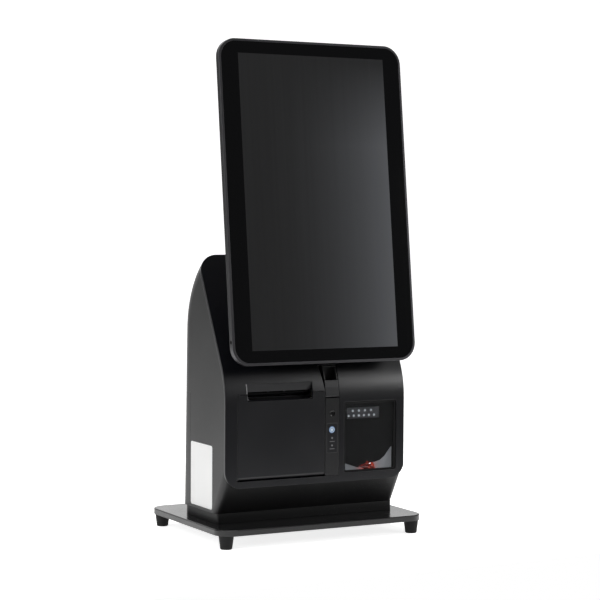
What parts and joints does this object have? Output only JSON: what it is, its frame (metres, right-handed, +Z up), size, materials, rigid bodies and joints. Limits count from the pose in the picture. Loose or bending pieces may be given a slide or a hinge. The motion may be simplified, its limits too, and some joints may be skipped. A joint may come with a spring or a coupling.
{
  "type": "countertop self-service ticket kiosk",
  "caption": "Desk-top ticket kiosk: leaning portrait touch display on a black housing with a drop-down printer door, buttons, cover lever, code scanner window and flat base plate.",
  "frame": {"origin": "bottom centre of the base plate's outline, on the ground plane under the feet", "axes": "+Z up; the front with the display, door and buttons faces -Y; +X to the right seen from the front"},
  "size_m": [0.273, 0.205, 0.5854],
  "materials": {
    "painted_steel": "satin black powder coat",
    "rubber": "matte",
    "platen_rubber": "ground",
    "fasteners": "zinc plated",
    "black_screws": "black oxide",
    "housing_black": "fine spark texture",
    "cover_black": "semi-gloss",
    "door_black": "semi-gloss",
    "strip_black": "satin",
    "inner_black": "matte",
    "button_black": "satin",
    "button_lit": "translucent, lit blue white",
    "overlay": "printed film",
    "light_pipe": "clear",
    "blade_steel": "ground",
    "bent_steel": "galvanised",
    "nylon": "moulded",
    "brass": "machined",
    "heat_sink": "extruded",
    "motor_can": "drawn",
    "board": "solder mask",
    "tray_pale": "matte white",
    "engine": "matte",
    "lens_red": "clear red",
    "window_glass": "polished",
    "cover_glass": "polished, black border",
    "lcd": "polarised panel",
    "rim_metal": "anodised dark grey",
    "hinge_black": "satin black",
    "socket_black": "matte",
    "socket_metal": "tin plated"
  },
  "bodies": {
    "base": {"base_plate": "painted_steel", "feet": "rubber", "stand_screws": "fasteners", "rear_cover_screws": "fasteners", "hinge_screws": "fasteners", "cover_pins": "fasteners", "friction_washers": "fasteners", "hinge_pin": "black_screws", "plinth": "housing_black", "housing": "housing_black", "rear_cover": "housing_black", "front_cover": "cover_black", "exit_guide": "cover_black", "control_strip": "strip_black", "roll_bucket": "inner_black", "scanner_well": "inner_black", "scanner_hood": "inner_black", "window_frame": "inner_black", "indicator_overlay": "overlay", "light_pipes": "light_pipe", "chassis": "bent_steel", "printer_frame": "bent_steel", "head_springs": "bent_steel", "socket_plate": "bent_steel", "thermal_head": "heat_sink", "feed_motor": "motor_can", "cutter_motor": "motor_can", "button_board": "board", "led_board": "board", "main_board": "board", "reflector_tray": "tray_pale", "scan_engine": "engine", "aimer_lens": "lens_red", "scanner_window": "window_glass", "hinge_bracket": "hinge_black", "power_inlet": "socket_black", "data_sockets": "socket_metal"},
    "display": {"display_frame": "rim_metal", "cover_glass": "cover_glass", "glass_gasket": "rubber", "lcd_panel": "lcd", "back_cover": "housing_black", "display_screws": "black_screws", "hinge_arm": "hinge_black"},
    "door": {"printer_door": "door_black", "door_liner": "inner_black", "fixed_blade": "blade_steel", "platen_bushes": "inner_black"},
    "platen": {"platen_roller": "platen_rubber", "platen_shaft": "fasteners", "platen_gear": "nylon"},
    "idler": {"idler_gear": "nylon"},
    "pinion": {"motor_pinion": "brass"},
    "cutter_drive": {"cutter_pinion": "brass"},
    "cutter_slider": {"cutter_blade": "blade_steel"},
    "lever": {"open_lever": "door_black"},
    "feed_key": {"feed_button": "button_black"},
    "power_key": {"power_button": "button_lit"},
    "mains_rocker": {"power_rocker": "button_black"}
  },
  "joints": [
    {"name": "display_tilt", "type": "hinge", "parent": "base", "child": "display", "pos_m": [0, -0.04105, 0.3], "axis": [-1, 0, 0], "range_deg": [-5, 18]},
    {"name": "door_hinge", "type": "hinge", "parent": "base", "child": "door", "pos_m": [0, -0.073, 0.0793], "axis": [1, 0, 0], "range_deg": [0, 80]},
    {"name": "platen_spin", "type": "hinge", "parent": "door", "child": "platen", "pos_m": [-0.049, -0.058, 0.164], "axis": [1, 0, 0], "continuous": true},
    {"name": "idler_spin", "type": "hinge", "parent": "base", "child": "idler", "pos_m": [0.002, -0.03909, 0.16067], "axis": [1, 0, 0], "continuous": true},
    {"name": "pinion_spin", "type": "hinge", "parent": "base", "child": "pinion", "pos_m": [0.002, -0.03109, 0.17452], "axis": [1, 0, 0], "continuous": true},
    {"name": "cutter_slide", "type": "slide", "parent": "base", "child": "cutter_slider", "axis": [0, 0, -1], "range_m": [0, 0.008]},
    {"name": "cutter_spin", "type": "hinge", "parent": "base", "child": "cutter_drive", "pos_m": [-0.104, -0.0683, 0.183], "axis": [0, 1, 0], "range_deg": [0, 115]},
    {"name": "lever_pull", "type": "hinge", "parent": "base", "child": "lever", "pos_m": [0.02045, -0.0747, 0.1697], "axis": [1, 0, 0], "range_deg": [0, 18], "stiffness_Nm_per_rad": 0.03, "springref_deg": -17.19},
    {"name": "feed_press", "type": "slide", "parent": "base", "child": "feed_key", "axis": [0, 1, 0], "range_m": [0, 0.001], "stiffness_N_per_m": 500, "springref_m": -0.001},
    {"name": "power_press", "type": "slide", "parent": "base", "child": "power_key", "axis": [0, 1, 0], "range_m": [0, 0.001], "stiffness_N_per_m": 500, "springref_m": -0.001},
    {"name": "mains_switch", "type": "hinge", "parent": "base", "child": "mains_rocker", "pos_m": [0.045, 0.0435, 0.0655], "axis": [-1, 0, 0], "range_deg": [0, 14]}
  ],
  "couplings": [
    {"joint": "idler_spin", "follows": "platen_spin", "ratio": -0.71429},
    {"joint": "pinion_spin", "follows": "platen_spin", "ratio": 1.6667},
    {"joint": "cutter_spin", "follows": "cutter_slide", "rad_per_m": 250}
  ]
}
